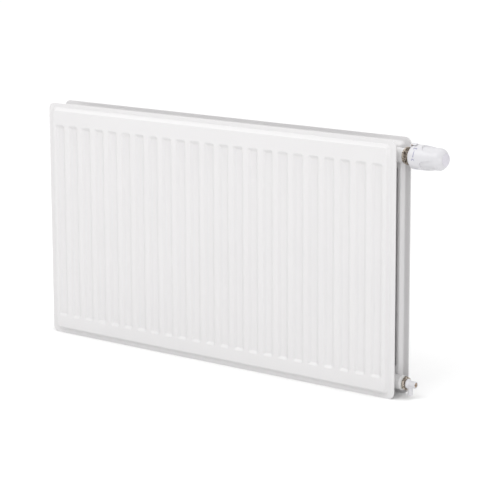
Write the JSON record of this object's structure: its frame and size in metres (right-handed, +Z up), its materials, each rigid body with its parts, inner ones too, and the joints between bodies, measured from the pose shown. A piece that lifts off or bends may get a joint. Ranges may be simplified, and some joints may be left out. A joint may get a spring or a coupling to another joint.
{
  "type": "panel radiator with thermostatic valve",
  "caption": "Flat double-panel radiator with upright pressed grooves, a thermostatic valve head at its top right end and a drain plug with a turning spout below it.",
  "frame": {"origin": "centre of the bottom of the overall envelope, on the floor that the panels' bottom edges stand on", "axes": "+X along the panels towards the valve end, +Y from the front panel to the wall side, +Z up"},
  "size_m": [0.9086, 0.071, 0.45],
  "materials": {
    "panel_enamel": "satin powder coat with a faint orange peel",
    "nickel_brass": "nickel plated, turned, with brass showing on worn edges",
    "bare_brass": "turned brass, slightly dull",
    "head_plastic": "moulded, satin gloss",
    "cap_plastic": "fine matt texture",
    "spout_plastic": "moulded, satin gloss",
    "washer_nylon": "turned nylon",
    "limiter_plastic": "moulded",
    "black_rubber": "smooth",
    "spring_steel": "drawn wire",
    "stainless_steel": "ground",
    "capsule_metal": "drawn cup"
  },
  "bodies": {
    "radiator": {"blanking_plug": "nickel_brass", "blanking_plug_washer": "washer_nylon", "bottom_left_tee": "panel_enamel", "bottom_right_tee": "panel_enamel", "drain_plug_body": "nickel_brass", "drain_plug_washer": "washer_nylon", "flow_riser_tube": "panel_enamel", "flow_socket": "panel_enamel", "front_panel_inner_sheet": "panel_enamel", "front_panel_outer_sheet": "panel_enamel", "gland_nut": "bare_brass", "gland_seal": "black_rubber", "hanging_straps": "panel_enamel", "head_base": "head_plastic", "head_union_nut": "nickel_brass", "limiter_pin": "limiter_plastic", "rear_panel_inner_sheet": "panel_enamel", "rear_panel_outer_sheet": "panel_enamel", "return_tee": "panel_enamel", "top_left_tee": "panel_enamel", "valve_insert_body": "nickel_brass", "valve_insert_seal": "black_rubber", "valve_return_spring": "spring_steel", "valve_tee": "panel_enamel", "vent_plug_body": "nickel_brass", "vent_plug_washer": "washer_nylon"},
    "handwheel": {"handwheel": "head_plastic", "handwheel_end_cap": "cap_plastic"},
    "sensor_unit": {"sensor_carrier": "head_plastic", "sensor_retainer": "head_plastic", "sensor_capsule": "capsule_metal", "overtravel_spring": "spring_steel", "push_pin": "stainless_steel"},
    "valve_spindle": {"valve_spindle": "stainless_steel", "valve_disc_holder": "bare_brass", "valve_disc": "black_rubber"},
    "drain_spout": {"drain_spout": "spout_plastic"},
    "drain_screw_seal": {"drain_screw_seal": "black_rubber"},
    "drain_screw": {"drain_screw": "bare_brass"},
    "vent_screw_seal": {"vent_screw_seal": "black_rubber"},
    "vent_screw": {"vent_screw": "bare_brass"}
  },
  "joints": [
    {"name": "head_turn", "type": "hinge", "parent": "radiator", "child": "handwheel", "pos_m": [0.38805, -0.0045, 0.422], "axis": [1, 0, 0], "range_deg": [-189, 81]},
    {"name": "sensor_slide", "type": "slide", "parent": "radiator", "child": "sensor_unit", "axis": [1, 0, 0], "range_m": [-0.0031, 0.0014]},
    {"name": "spindle_slide", "type": "slide", "parent": "radiator", "child": "valve_spindle", "axis": [1, 0, 0], "range_m": [-0.0031, 0.0014], "deforming": ["valve_return_spring"]},
    {"name": "drain_spout_turn", "type": "hinge", "parent": "radiator", "child": "drain_spout", "pos_m": [0.3796, -0.0045, 0.026], "axis": [1, 0, 0], "continuous": true},
    {"name": "drain_screw_travel", "type": "slide", "parent": "radiator", "child": "drain_screw_seal", "axis": [1, 0, 0], "range_m": [0, 0.002]},
    {"name": "drain_screw_turn", "type": "hinge", "parent": "drain_screw_seal", "child": "drain_screw", "pos_m": [0.3796, -0.0045, 0.026], "axis": [1, 0, 0], "range_deg": [0, 722]},
    {"name": "vent_screw_travel", "type": "slide", "parent": "radiator", "child": "vent_screw_seal", "axis": [-1, 0, 0], "range_m": [0, 0.002]},
    {"name": "vent_screw_turn", "type": "hinge", "parent": "vent_screw_seal", "child": "vent_screw", "pos_m": [-0.4454, -0.0045, 0.422], "axis": [-1, 0, 0], "range_deg": [0, 722]}
  ],
  "couplings": [
    {"joint": "sensor_slide", "follows": "head_turn", "m_per_rad": 0.00093371},
    {"joint": "spindle_slide", "follows": "head_turn", "m_per_rad": 0.00093371},
    {"joint": "drain_screw_turn", "follows": "drain_screw_travel", "rad_per_m": 6283.2},
    {"joint": "vent_screw_turn", "follows": "vent_screw_travel", "rad_per_m": 6283.2}
  ]
}
